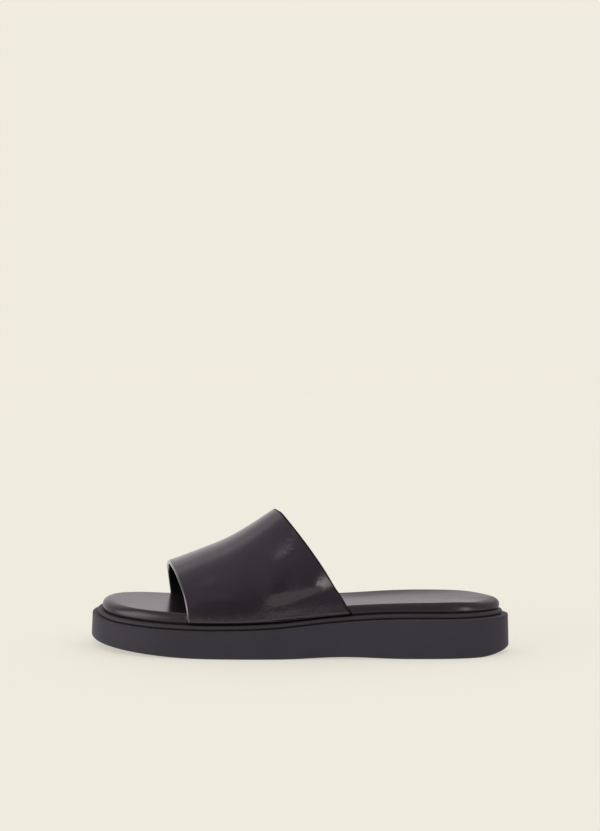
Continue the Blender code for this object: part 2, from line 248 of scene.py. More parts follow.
def lit(colour, amount):
    """A colour at an amount of light."""
    parts = {0: linear(colour)[:3], "Scale": amount}
    return add(tree, "ShaderNodeVectorMath", parts, operation="SCALE").outputs[0]


def seen_along(axis):
    """How far the direction that is looked in points along an axis."""
    parts = {0: toward, 1: axis}
    return add(tree, "ShaderNodeVectorMath", parts, operation="DOT_PRODUCT").outputs["Value"]


total = lit(TENT, level)
for azimuth, elevation, half_width, half_height, light_added, colour in LAMPS:
    turn = Quaternion((0, 0, 1), -math.radians(azimuth)) @ Quaternion((1, 0, 0), math.radians(elevation))
    across = seen_along(turn @ Vector((1, 0, 0)) / math.sin(math.radians(half_width)))
    upward = seen_along(turn @ Vector((0, 0, 1)) / math.sin(math.radians(half_height)))
    away_from = seen_along(turn @ Vector((0, -FAR_SIDE, 0)))
    hidden = add(tree, "ShaderNodeMath", {0: away_from, 1: 0.0}, operation="MAXIMUM").outputs["Value"]
    offset = add(tree, "ShaderNodeCombineXYZ", {"X": across, "Y": upward, "Z": hidden}).outputs[0]
    distance = add(tree, "ShaderNodeVectorMath", {0: offset}, operation="LENGTH").outputs["Value"]
    spot = add(
        tree,
        "ShaderNodeMapRange",
        {"Value": distance, "From Min": LAMP_EDGE[1], "From Max": LAMP_EDGE[0], "To Max": light_added},
        interpolation_type="SMOOTHSTEP",
    ).outputs["Result"]
    both = {0: lit(colour, spot), 1: total}
    total = add(tree, "ShaderNodeVectorMath", both, operation="ADD").outputs[0]
light = add(tree, "ShaderNodeBackground", {"Color": total})
backdrop = add(tree, "ShaderNodeBackground", {"Color": linear(CREAM)})
seen = add(tree, "ShaderNodeLightPath").outputs["Is Camera Ray"]
studio = add(tree, "ShaderNodeMixShader", {"Fac": seen, 1: light.outputs[0], 2: backdrop.outputs[0]})
add(tree, "ShaderNodeOutputWorld", {"Surface": studio.outputs[0]})
bpy.context.scene.world = world
bpy.context.scene.view_settings.view_transform = "Standard"
print("lamps and dark sides:", len(LAMPS))

# %% [markdown]
# ## The sole's measures
#
# All layers of a sole follow one outline, the widest line of the outsole, and stand in from it by
# their own setback. The tables below are the ones that the frame was built from, in millimetres, so
# the finished pieces fall on it. An outline could be drawn as a Bezier curve; a closed cubic spline
# through sixteen points has no jump in curvature, which is what keeps a highlight along the edge
# smooth.

# %% Outline and heights, in millimetres
SOLE_LENGTH, SOLE_WIDTH = 264.0, 95.0
LAYER_GAP = 0.3
SOLE_OUTLINE = (  # along, across
    (-132.0, 11.0),  # toe tip
    (-124.5, 35.5),  # big toe
    (-91.0, 46.0),
    (-48.0, 47.5),  # inner ball
    (-5.0, 38.5),
    (36.0, 31.5),  # inner waist
    (86.0, 34.0),  # inner heel
    (117.0, 22.0),
    (132.0, -2.5),  # back of the heel
    (118.0, -24.0),
    (84.0, -34.5),  # outer heel
    (32.0, -38.5),  # outer waist
    (-8.0, -44.5),
    (-46.0, -47.5),  # outer ball
    (-86.0, -43.5),
    (-119.5, -25.0),  # little toe
)
OUTSOLE_TOP = (  # along, height of the ledge
    (-132, 21.3),
    (-118, 19.4),
    (-100, 18.3),
    (-76, 17.4),
    (-44, 17.3),
    (-14, 18.4),
    (24, 22.1),
    (56, 24.2),
    (92, 24.5),
    (132, 24.4),
)


def smooth_step(value, start, end):
    t = np.clip((value - start) / (end - start), 0.0, 1.0)
    return t * t * (3 - 2 * t)


def through(rows, along, column=1):
    """A smooth curve through one column of a table, read along its first column."""
    rows = np.array(rows, dtype=float)
    places, values = rows[:, 0], rows[:, column]
    slopes = np.gradient(values, places)
    along = np.clip(along, places[0], places[-1])
    left = np.clip(np.searchsorted(places, along, side="right") - 1, 0, len(places) - 2)
    span = places[left + 1] - places[left]
    t = (along - places[left]) / span
    start = (1 + 2 * t) * (1 - t) ** 2 * values[left] + t * (1 - t) ** 2 * span * slopes[left]
    return start + t**2 * (3 - 2 * t) * values[left + 1] + t**2 * (t - 1) * span * slopes[left + 1]


def closed_spline(points, samples):
    """A closed cubic spline through the points, with no jump in curvature."""
    points = np.array(points)
    count = len(points)
    ahead = np.roll(points, -1, axis=0) - points
    span = np.linalg.norm(ahead, axis=1)
    before = np.roll(span, 1)
    rows = np.arange(count)
    system = np.zeros((count, count))
    system[rows, rows] = 2 * (before + span)
    system[rows, (rows - 1) % count] = before
    system[rows, (rows + 1) % count] = span
    slope = ahead / span[:, None]
    bend = np.linalg.solve(system, 6 * (slope - np.roll(slope, 1, axis=0)))
    t = np.linspace(0, 1, samples, endpoint=False)[:, None]
    u = 1 - t
    pieces = []
    for k in range(count):
        after = (k + 1) % count
        curved = (u**3 - u) * bend[k] + (t**3 - t) * bend[after]
        pieces.append(u * points[k] + t * points[after] + span[k] ** 2 / 6 * curved)
    return np.concatenate(pieces)


edge = closed_spline(SOLE_OUTLINE, samples=400)
middle = (edge.min(axis=0) + edge.max(axis=0)) / 2
edge = (edge - middle) / np.ptp(edge, axis=0) * (SOLE_LENGTH, SOLE_WIDTH)
edge = np.roll(edge, -int(edge[:, 0].argmin()), axis=0)
tangent = np.roll(edge, -1, axis=0) - np.roll(edge, 1, axis=0)
tangent /= np.linalg.norm(tangent, axis=1)[:, None]
outward = np.stack([-tangent[:, 1], tangent[:, 0]], axis=1)
heel = int(edge[:, 0].argmax())  # the inner side runs up to here, the outer side runs back from it
print("outline:", np.ptp(edge, axis=0).round(1), "mm")

# %% Height of each layer, in millimetres
TOE_SPRING, TOE_SPRING_START = 5.8, -50.0
WAIST_LIFT, WAIST_START, WAIST_END = 1.1, -10.0, 70.0
HEEL_BEVEL, HEEL_BEVEL_START = 3.5, 113.0
MIDSOLE_HEIGHT, BEDDING = 2.8, 0.45
FOOTBED_HEIGHT = (  # along, height of the edge over the midsole
    (-132, 6.6),
    (-80, 6.45),
    (-20, 6.2),
    (35, 5.9),
    (75, 6.1),
    (110, 6.6),
    (132, 6.7),
)


def toe_to_heel(along, ends):
    """A value that changes evenly from the toe tip to the back of the heel."""
    return ends[0] + (ends[1] - ends[0]) * (along + SOLE_LENGTH / 2) / SOLE_LENGTH


def underside(along):
    """Flat under the ball and the heel, lifted at the toe, the waist and the heel's edge."""
    toe = np.clip((TOE_SPRING_START - along) / (SOLE_LENGTH / 2 + TOE_SPRING_START), 0, 1)
    back = np.clip((along - HEEL_BEVEL_START) / (SOLE_LENGTH / 2 - HEEL_BEVEL_START), 0, 1)
    waist = np.clip((along - WAIST_START) / (WAIST_END - WAIST_START), 0, 1)
    return TOE_SPRING * toe**2 + HEEL_BEVEL * back**2 + WAIST_LIFT * np.sin(math.pi * waist) ** 2


def outsole_top(along):
    return through(OUTSOLE_TOP, along)


def ledge_height(along):
    """The flat that carries the midsole, which beds into it a little."""
    return outsole_top(along) - BEDDING


def bead_top(along):
    """The top of the bedded midsole, on which the footbed lies."""
    return outsole_top(along) + MIDSOLE_HEIGHT


def footbed_edge(along):
    """The footbed's upper edge in the frame, whose layers are a small gap apart."""
    midsole_top = outsole_top(along) + LAYER_GAP + MIDSOLE_HEIGHT
    return midsole_top + LAYER_GAP + through(FOOTBED_HEIGHT, along)


for name, along in (("ball", -46.0), ("heel", 90.0)):
    print(f"stack at the {name}: {float(footbed_edge(along)):.1f} mm")

# %% [markdown]
# ## Rings round the sole
#
# The layers of the sole are all made the same way: closed rings of points that follow the outline,
# each at its own setback and height, skinned one to the next. An extruded curve with a bevel would
# be quicker, but it can't follow the rise of the sole or change its edge from toe to heel. The two
# sides of a ring are paired, so the rings can close on a line down the middle of the foot, and the
# solid has no holes.

# %% Rings
STATIONS = 150  # places along each side
SPINE_SHARE = 0.62  # how far the closing line reaches towards the two ends
FILL = np.linspace(1.0, 0.0, 13)[1:]  # shares of the way from that line to a border
MERGE_DISTANCE = 0.001  # mm
SHARP_ANGLE = math.radians(40)


def place_on_edge(along, side, setback):
    """Sample of the outline at which a line set back from it reaches a place along the foot."""
    line = (edge - outward * np.reshape(setback, (-1, 1)))[:, 0]
    if side > 0:
        return np.interp(along, line[: heel + 1], np.arange(heel + 1))
    return np.interp(-np.asarray(along), -line[heel:], np.arange(heel, len(line)))


class Rings:
    """Closed loops round the sole, one above or inside the other."""

    def __init__(self, extra=()):
        angles = np.arange(1, STATIONS) * math.pi / STATIONS
        along = np.sort(np.concatenate([-SOLE_LENGTH / 2 * np.cos(angles), extra]))
        inner = np.searchsorted(edge[: heel + 1, 0], along)
        outer = heel + np.searchsorted(-edge[heel:, 0], -along[::-1])
        self.places = np.concatenate([[0], inner, [heel], outer])
        self.edge = edge[self.places]
        self.along = self.edge[:, 0]
        self.partner = -np.arange(len(self.places))  # the place straight across the foot
        self.spine = (self.edge + self.edge[self.partner]) / 2 * (SPINE_SHARE, 1.0)
        self.loops = []

    def inset(self, setback):
        setback = np.broadcast_to(setback, self.along.shape)
        return self.edge - outward[self.places] * setback[:, None]

    def add(self, flat, height):
        """Adds a loop of plan points at the heights that a function or an array gives."""
        tall = height(flat[:, 0]) if callable(height) else height
        self.loops.append(np.column_stack([flat, np.broadcast_to(tall, len(flat))]))

    def fill(self, border, height, shares=FILL):
        """Adds loops between a border and the line down the middle of the foot."""
        for share in shares:
            self.add(self.spine + share * (border - self.spine), height)

    def mesh(self, name):
        count = len(self.along)
        faces = []
        for row in range(len(self.loops) - 1):
            for k in range(count):
                after = (k + 1) % count
                low, high = row * count, (row + 1) * count
                faces.append((low + k, low + after, high + after, high + k))
        return closed_mesh(name, np.concatenate(self.loops), faces)


def closed_mesh(name, points, faces):
    """A mesh in metres from points in millimetres, merged, with its faces pointing out."""
    mesh = bpy.data.meshes.new(name)
    mesh.from_pydata((np.asarray(points) * MM).tolist(), [], faces)
    work = bmesh.new()
    work.from_mesh(mesh)
    bmesh.ops.remove_doubles(work, verts=work.verts, dist=MERGE_DISTANCE * MM)
    bmesh.ops.dissolve_degenerate(work, edges=work.edges, dist=MERGE_DISTANCE * MM)
    bmesh.ops.recalc_face_normals(work, faces=work.faces)
    work.to_mesh(mesh)
    work.free()
    mesh.shade_smooth()
    mesh.set_sharp_from_angle(angle=SHARP_ANGLE)
    return mesh


def piece(name, mesh, *materials):
    """Puts a finished mesh into the scene as a piece of the sandal."""
    for material in materials:
        mesh.materials.append(material)
    thing = bpy.data.objects.new(name, mesh)
    bpy.context.scene.collection.objects.link(thing)
    print(f"{name}: {len(mesh.vertices)} points, {len(mesh.polygons)} faces")
    return thing


def quarter_round(steps):
    """Shares across and up a quarter circle, from its foot to its side."""
    return [(math.sin(a), 1 - math.cos(a)) for a in np.linspace(0, math.pi / 2, steps + 1)]


print("places round the sole:", 2 * STATIONS)

# %% [markdown]
# ## Moulded rubber
#
# The outsole is one block of expanded rubber from a steel mould. The mould was etched, so the wall
# is evenly matt, with a grit too fine to see singly, and the black is a soft charcoal that takes no
# clear reflection. A noise at the size of the grit gives the bump, and a slow cloudy noise moves
# colour and roughness a little, as the skin of a moulding does.

# %% Rubber
RUBBER_GRIT = 0.8  # mm; the real grit is finer and is drawn this coarse so that it shows
RUBBER_CLOUD = 24.0  # mm


def moulded_rubber():
    # Cast against etched steel: an even, matt charcoal with a slight bloom where the light grazes it
    material, tree, place = blank_material("moulded_expanded_rubber")
    grit = add(tree, "ShaderNodeTexNoise", sized(place, RUBBER_GRIT, Detail=2.0)).outputs["Fac"]
    cloud = add(tree, "ShaderNodeTexNoise", sized(place, RUBBER_CLOUD, Detail=3.0)).outputs["Fac"]
    dull = add(tree, "ShaderNodeMapRange", {"Value": cloud, "To Min": 0.60, "To Max": 0.72})
    inputs = {
        "Roughness": dull.outputs["Result"],
        "Specular IOR Level": 0.25,
        "Sheen Weight": 0.15,
        "Sheen Roughness": 0.35,
    }
    return surface(material, ("#323038", "#3C3A45"), cloud, [(grit, 0.22, 0.2)], inputs)


rubber = moulded_rubber()
print("material:", rubber.name)

# %% [markdown]
# ## Outsole
#
# The wall stands almost upright, with a small round at the floor and a crisp rim at the top. Inside
# the rim a flat ledge carries the bead. Underneath, a plain border runs round a shallow field that
# holds the tread.

# %% Outsole
WALL_DRAFT, BOTTOM_ROUND, RIM_ROUND = 0.6, 1.6, 0.35
MIDSOLE_SETBACK = (3.7, 4.2)  # at the toe tip and at the back of the heel
TREAD_BORDER, TREAD_DEPTH = 8.0, 1.0
BOTTOM_STEPS, WALL_ROWS, RIM_STEPS = 8, 6, 5


def tread_floor(along):
    return underside(along) + TREAD_DEPTH


def outsole_mesh():
    rings = Rings()
    field = rings.inset(TREAD_BORDER)
    rings.fill(field, tread_floor, FILL[::-1])
    rings.add(field, tread_floor)
    rings.add(rings.inset(TREAD_BORDER - TREAD_DEPTH / 2), underside)
    rings.add(rings.inset((TREAD_BORDER + BOTTOM_ROUND) / 2), underside)
    for out, up in quarter_round(BOTTOM_STEPS):
        flat = rings.inset(BOTTOM_ROUND * (1 - out))
        rings.add(flat, underside(flat[:, 0]) + BOTTOM_ROUND * up)
    foot = underside(rings.along) + BOTTOM_ROUND
    head = ledge_height(rings.along) - RIM_ROUND
    for share in np.linspace(0, 1, WALL_ROWS + 1)[1:-1]:
        rings.add(rings.inset(WALL_DRAFT * share), foot + (head - foot) * share)
    for out, up in reversed(quarter_round(RIM_STEPS)):
        flat = rings.inset(WALL_DRAFT + RIM_ROUND * (1 - out))
        rings.add(flat, ledge_height(flat[:, 0]) - RIM_ROUND * up)
    ledge = rings.inset(toe_to_heel(rings.along, MIDSOLE_SETBACK) + MIDSOLE_HEIGHT / 2)
    rings.add(ledge, ledge_height)
    rings.fill(ledge, ledge_height)
    return rings.mesh("outsole")


outsole = piece("outsole_moulding", outsole_mesh(), rubber)

# %% [markdown]
# ## Tread
#
# The underside can't be seen in a shop photograph, so it gets the plainest tread there is: rows of
# small low studs. Hundreds of equal things on a curved surface are a task for Geometry Nodes. The
# tree lays a staggered grid of points under the sole, shoots a ray up from each, keeps those that
# hit the tread's floor, and puts a stud on each hit. The instances are then made real, because an
# exported model has no instances.

# %% Node tree of the studs
STUD_SIDES = 8
STUD_FLARE = 1.2  # how much wider a stud is at its root
RAY_START, RAY_LENGTH = -50.0, 200.0  # mm


def stud_tree(material):
    tree = bpy.data.node_groups.new("tread_studs", "GeometryNodeTree")
    sockets = tree.interface
    sockets.new_socket("Tread floor", in_out="INPUT", socket_type="NodeSocketGeometry")
    for name in ("Pitch", "Radius", "Height", "Length", "Width"):
        sockets.new_socket(name, in_out="INPUT", socket_type="NodeSocketFloat")
    sockets.new_socket("Studs", in_out="OUTPUT", socket_type="NodeSocketGeometry")
    given = add(tree, "NodeGroupInput").outputs
    pitch = given["Pitch"]
    rows, lines = (
        add(tree, "ShaderNodeMath", {0: given[side], 1: pitch}, operation="DIVIDE").outputs[0]
        for side in ("Length", "Width")
    )
    grid = add(
        tree,
        "GeometryNodeMeshGrid",
        {"Size X": given["Length"], "Size Y": given["Width"], "Vertices X": rows, "Vertices Y": lines},
    )
    place = add(tree, "GeometryNodeInputPosition").outputs[0]
    axes = add(tree, "ShaderNodeSeparateXYZ", {0: place}).outputs
    double = add(tree, "ShaderNodeMath", {0: pitch, 1: 2.0}, operation="MULTIPLY").outputs[0]
    pair = {0: axes["X"], 1: double}
    around = add(tree, "ShaderNodeMath", pair, operation="FLOORED_MODULO").outputs[0]
    odd = add(tree, "ShaderNodeMath", {0: around, 1: pitch}, operation="GREATER_THAN").outputs[0]
    step = add(tree, "ShaderNodeMath", {0: odd, 1: pitch}, operation="MULTIPLY").outputs[0]
    half = add(tree, "ShaderNodeMath", {0: step, 1: 0.5}, operation="MULTIPLY").outputs[0]
    shift = add(tree, "ShaderNodeCombineXYZ", {"Y": half, "Z": RAY_START * MM}).outputs[0]
    below = add(tree, "GeometryNodeSetPosition", {"Geometry": grid.outputs["Mesh"], "Offset": shift})
    ray = add(
        tree,
        "GeometryNodeRaycast",
        {
            "Target Geometry": given["Tread floor"],
            "Ray Direction": (0.0, 0.0, 1.0),
            "Ray Length": RAY_LENGTH * MM,
        },
    ).outputs
    lifted = add(
        tree,
        "GeometryNodeSetPosition",
        {"Geometry": below.outputs[0], "Selection": ray["Is Hit"], "Position": ray["Hit Position"]},
    )
    height = add(tree, "ShaderNodeSeparateXYZ", {0: add(tree, "GeometryNodeInputPosition").outputs[0]})
    below_floor = {"A": height.outputs["Z"], "B": 0.0}
    missed = add(tree, "FunctionNodeCompare", below_floor, operation="LESS_THAN").outputs[0]
    kept = add(tree, "GeometryNodeDeleteGeometry", {"Geometry": lifted.outputs[0], "Selection": missed})
    flare = {0: given["Radius"], 1: STUD_FLARE}
    wide = add(tree, "ShaderNodeMath", flare, operation="MULTIPLY").outputs[0]
    stud = add(
        tree,
        "GeometryNodeMeshCone",
        {
            "Vertices": STUD_SIDES,
            "Radius Top": wide,
            "Radius Bottom": given["Radius"],
            "Depth": given["Height"],
        },
    )
    sunk = add(tree, "ShaderNodeCombineXYZ", {"Z": -TREAD_DEPTH * MM}).outputs[0]
    hung = add(tree, "GeometryNodeTransform", {"Geometry": stud.outputs["Mesh"], "Translation": sunk})
    each = {"Points": kept.outputs[0], "Instance": hung.outputs[0]}
    spread = add(tree, "GeometryNodeInstanceOnPoints", each)
    real = add(tree, "GeometryNodeRealizeInstances", {"Geometry": spread.outputs[0]})
    finish = add(tree, "GeometryNodeSetMaterial", {"Geometry": real.outputs[0], "Material": material})
    add(tree, "NodeGroupOutput", {"Studs": finish.outputs[0]})
    return tree


studs_on_floor = stud_tree(rubber)
print("stud tree:", len(studs_on_floor.nodes), "nodes")

# %% Tread studs
STUD_PITCH, STUD_RADIUS = 6.5, 2.1
STUD_HEIGHT = TREAD_DEPTH + 0.2  # the root is sunk into the tread's floor
STUD_MARGIN = 1.3 * STUD_RADIUS  # from the border to the middle of the nearest stud


def tread_floor_mesh():
    rings = Rings()
    field = rings.inset(TREAD_BORDER + STUD_MARGIN)
    rings.add(field, tread_floor)
    rings.fill(field, tread_floor)
    return rings.mesh("tread_floor")


def grown(thing, tree, sizes):
    """The plain mesh that a node tree makes from an object, which is then removed."""
    nodes = thing.modifiers.new(tree.name, "NODES")
    nodes.node_group = tree
    for item in tree.interface.items_tree:
        if item.name in sizes:
            nodes[item.identifier] = sizes[item.name]
    thing.update_tag()
    graph = bpy.context.evaluated_depsgraph_get()
    mesh = bpy.data.meshes.new_from_object(thing.evaluated_get(graph))
    bpy.data.objects.remove(thing)
    mesh.name = tree.name
    return mesh


studs = grown(
    piece("tread_floor", tread_floor_mesh()),
    studs_on_floor,
    {
        "Pitch": STUD_PITCH * MM,
        "Radius": STUD_RADIUS * MM,
        "Height": STUD_HEIGHT * MM,
        "Length": SOLE_LENGTH * MM,
        "Width": SOLE_WIDTH * MM,
    },
)
tread = piece("tread_studs", studs)

# %% [markdown]
# ## Midsole
#
# Between outsole and footbed lies a thin board, wrapped in thin leather. Only its round edge shows,
# as a bead all round the sandal, with a dark joint above and below it. The wrap was waxed and
# burnished with the edge of the sole, so it is a satin black with a narrow highlight.

# %% Burnished leather of the bead
BEAD_GRAIN, BEAD_CLOUD = 0.9, 14.0  # mm


def burnished_wrap():
    # Thin leather, waxed and rubbed with a hot iron: a satin black with a narrow, slightly uneven shine
    material, tree, place = blank_material("waxed_wrapping_leather")
    grain = add(tree, "ShaderNodeTexNoise", sized(place, BEAD_GRAIN, Detail=3.0)).outputs["Fac"]
    cloud = add(tree, "ShaderNodeTexNoise", sized(place, BEAD_CLOUD, Detail=2.0)).outputs["Fac"]
    dull = add(tree, "ShaderNodeMapRange", {"Value": cloud, "To Min": 0.48, "To Max": 0.62})
    inputs = {"Roughness": dull.outputs["Result"]}
    return surface(material, ("#2B272B", "#343034"), cloud, [(grain, 0.15, 0.15)], inputs)


wrap = burnished_wrap()
print("material:", wrap.name)

# %% Midsole
BEAD_STEPS = 14


def midsole_mesh():
    rings = Rings()
    setback = toe_to_heel(rings.along, MIDSOLE_SETBACK)
    radius = (MIDSOLE_HEIGHT + BEDDING) / 2
    board = rings.inset(setback + radius)
    rings.fill(board, ledge_height, FILL[::-1])
    for angle in np.radians(np.linspace(-90, 90, BEAD_STEPS + 1)):
        flat = rings.inset(setback + radius * (1 - math.cos(angle)))
        rings.add(flat, ledge_height(flat[:, 0]) + radius * (1 + math.sin(angle)))
    rings.fill(board, bead_top)
    return rings.mesh("midsole")


midsole = piece("midsole_bead", midsole_mesh(), wrap)

# %% [markdown]
# ## The upper's edges
#
# The band is cut so that its front edge leans back towards the outer side and its rear edge runs
# low over the outer quarter of the foot. The footbed has a rebate for the turned-under margins of
# the band, so both pieces need the same table: for each turn of the section, from the outer side
# over the ridge to the inner side, where the band begins and ends along the foot.

# %% Edges of the band, in millimetres
FEATHER_TURN = 1.2  # the feather edge, below the place where the side springs from the footbed
UPPER_EDGES = (  # turn, front, back; the turn is 0 at the ridge and negative on the outer side
    (-1.2, -64.9, 34.2),
    (-1.0, -65.2, 32.6),
    (-0.9, -66.0, 24.5),
    (-0.8, -67.2, 17.7),
    (-0.6, -70.8, 5.6),
    (-0.4, -74.8, -3.6),
    (-0.2, -78.8, -9.9),
    (-0.1, -80.6, -12.6),
    (0.0, -82.3, -14.3),
    (0.2, -84.6, -16.4),
    (0.4, -85.8, -13.2),
    (0.6, -86.2, -6.1),
    (0.8, -86.0, 4.4),
    (1.0, -85.3, 19.4),
    (1.2, -85.3, 22.0),
)
UPPER_WALL, LASTING_MARGIN, LASTING_BEND = 2.0, 11.0, 0.7
FOOTBED_SETBACK = (  # along, distance in from the outline
    (-132, 7.0),
    (-40, 7.2),
    (40, 7.4),
    (85, 6.9),
    (115, 6.3),
    (132, 6.1),
)
feather_setback = through(FOOTBED_SETBACK, edge[:, 0]) - LAYER_GAP


def front_of_band(turn):
    return through(UPPER_EDGES, turn, column=1)


def back_of_band(turn):
    return through(UPPER_EDGES, turn, column=2)


print("band at the ridge:", round(float(back_of_band(0.0) - front_of_band(0.0)), 1), "mm wide")

# %% [markdown]
# ## Footbed leather
#
# The footbed is covered with a smooth lining leather, dyed through and lightly finished. It has
# fine pores, a satin surface, and a sheen that changes slowly where the hide was tighter or looser.
# Seen at a low angle the top mirrors the bright background and looks grey, though the leather is
# black.

# %% Footbed leather
SOCK_PORE, SOCK_HIDE, SOCK_CLOUD = 0.55, 2.6, 20.0  # mm
HIDE_SHARE = 1.5  # height of the hide's unevenness beside that of its pores


def sock_leather():
    # Dyed through and only lightly finished: a satin black that mirrors softly where it is seen edge on
    material, tree, place = blank_material("aniline_lining_leather")
    pores = add(tree, "ShaderNodeTexVoronoi", sized(place, SOCK_PORE)).outputs["Distance"]
    hide = add(tree, "ShaderNodeTexNoise", sized(place, SOCK_HIDE, Detail=4.0)).outputs["Fac"]
    cloud = add(tree, "ShaderNodeTexNoise", sized(place, SOCK_CLOUD, Detail=2.0)).outputs["Fac"]
    dull = add(tree, "ShaderNodeMapRange", {"Value": cloud, "To Min": 0.20, "To Max": 0.27})
    heights = {0: hide, 1: HIDE_SHARE, 2: pores}
    height = add(tree, "ShaderNodeMath", heights, operation="MULTIPLY_ADD").outputs[0]
    inputs = {"Roughness": dull.outputs["Result"], "Specular IOR Level": 0.45}
    return surface(material, ("#262126", "#2E292E"), hide, [(height, 0.10, 0.1)], inputs)


sock = sock_leather()
print("material:", sock.name)

# %% [markdown]
# ## Footbed
#
# Board and thin foam, wrapped in leather: the edge is rolled, more so at the toe tip and the back
# of the heel, and the side pulls in under it. The top is slightly hollow, deeper at the heel and
# towards the inner side of the foot, and its outer edge lies a little lower there. Along the band
# the underside is cut back to take the turned-under leather. A soft cushion would be swollen by a
# cloth simulation. Firm foam on a board doesn't swell, so this form is lofted from rings, like the
# rest of the sole.

# %% Footbed
SIDE_ROLL = (1.6, 4.6)  # inward and down
TOE_ROLL, TOE_ROLL_START = (7.0, 4.4), 98.0
HEEL_ROLL, HEEL_ROLL_START = (6.0, 4.2), 104.0
UNDERCUT, UNDERCUT_HEIGHT = 0.8, 1.4
HOLLOW = (  # along, depth of the top below its edge
    (-132, 0.5),
    (-50, 0.5),
    (50, 2.0),
    (75, 1.9),
    (105, 1.5),
    (132, 1.0),
)
LOW_LINE = 0.4  # place of the deepest line, as a share of the half width towards the inner side
OUTER_DROP = (  # along, how much lower the outer edge lies than the inner one
    (-132, 0.0),
    (20, 0.0),
    (60, 0.4),
    (85, 0.25),
    (100, 0.3),
    (116, 0.9),
    (132, 0.9),
)
DROP_REACH = 20.0  # from the middle of the foot outwards, the width over which that drop grows
ROLL_ROOM = 0.85  # the most of the side's height that the roll may take
SIDE_FLAT = 0.3  # upright stretch between the undercut and the roll
ROLL_STEPS, TOP_STEPS = 10, 24  # over the roll, and from it to the deepest line
REBATE_CLEAR, REBATE_END = 0.35, 0.9


def rebate_corners():
    """Extra places along the sole, on both sides of each corner of the band's margins."""
    found = []
    for turn in (-FEATHER_TURN, FEATHER_TURN):
        for step in (REBATE_CLEAR, REBATE_END):
            for corner in (front_of_band(turn) - step, back_of_band(turn) + step):
                found.append(edge[int(place_on_edge(corner, turn, feather_setback)), 0])
    return found


def footbed_mesh():
    rings = Rings(rebate_corners())
    side = through(FOOTBED_SETBACK, rings.along)
    turn = np.where(rings.places <= heel, FEATHER_TURN, -FEATHER_TURN)
    along = rings.inset(side - LAYER_GAP)[:, 0]
    reach = (REBATE_CLEAR + REBATE_END) / 2
    under_band = (along > front_of_band(turn) - reach) & (along < back_of_band(turn) + reach)
    rebate = np.where(under_band, UPPER_WALL + LAYER_GAP, 0.0)
    outer_share = np.clip((rings.spine - rings.edge)[:, 1] / DROP_REACH, 0, 1)
    drop = through(OUTER_DROP, rings.along) * outer_share

    def top(along, share):
        return footbed_edge(along) - through(HOLLOW, along) * (1 - share**2) - drop * share**2

    rings.fill(rings.inset(side + LASTING_MARGIN + REBATE_END), bead_top, FILL[::-1])
    for setback, rise in (
        (side + LASTING_MARGIN + REBATE_END, 0.0),
        (side + LASTING_MARGIN + REBATE_CLEAR, rebate),
        (side + UNDERCUT, rebate),
        (side, rebate + UNDERCUT_HEIGHT),
        (side, rebate + UNDERCUT_HEIGHT + SIDE_FLAT),
    ):
        flat = rings.inset(setback)
        rings.add(flat, bead_top(flat[:, 0]) + rise)
    toe = smooth_step(-rings.along, TOE_ROLL_START, SOLE_LENGTH / 2)
    back = smooth_step(rings.along, HEEL_ROLL_START, SOLE_LENGTH / 2)
    inward, down = (
        at_side + (at_toe - at_side) * toe + (at_heel - at_side) * back
        for at_side, at_toe, at_heel in zip(SIDE_ROLL, TOE_ROLL, HEEL_ROLL)
    )
    room = footbed_edge(rings.along) - drop - bead_top(rings.along) - rebate - UNDERCUT_HEIGHT
    down = np.minimum(down, ROLL_ROOM * room)
    for out, up in reversed(quarter_round(ROLL_STEPS)):
        flat = rings.inset(side + inward * (1 - out))
        rings.add(flat, footbed_edge(flat[:, 0]) - drop - down * up)
    border = rings.inset(side + inward)
    half_width = np.abs(border[:, 1] - border[rings.partner, 1]) / 2
    low_line = rings.spine + np.outer(half_width, (0.0, LOW_LINE))
    for share in np.linspace(1, 0, TOP_STEPS + 1)[1:]:
        flat = low_line + share * (border - low_line)
        rings.add(flat, top(flat[:, 0], share))
    return rings.mesh("footbed")


footbed = piece("footbed_pad", footbed_mesh(), sock)

# %% [markdown]
# ## Leathers of the band
#
# The outside is smooth box calf, plated and polished: very fine pores, a tight even black, and a
# clear soft highlight along the ridge of the instep. Where the band flexes at the foot's outer side
# the finish breaks into a fine grain; the mesh carries an attribute that says where, and a UV map
# that lays the grain along the band. The inside is a dull pigskin lining, whose black also closes
# the rear edge. The front edge is sealed with edge paint, which is smoother and glossier than
# leather. A photograph of leather would be quicker, but its repeat would show, and it would hold
# the light of another room.

# %% Calf of the outside
CALF_PORE, CALF_HIDE = 0.4, 9.0  # mm
BREAK_LENGTH, BREAK_WIDTH = 2.4, 1.6  # mm


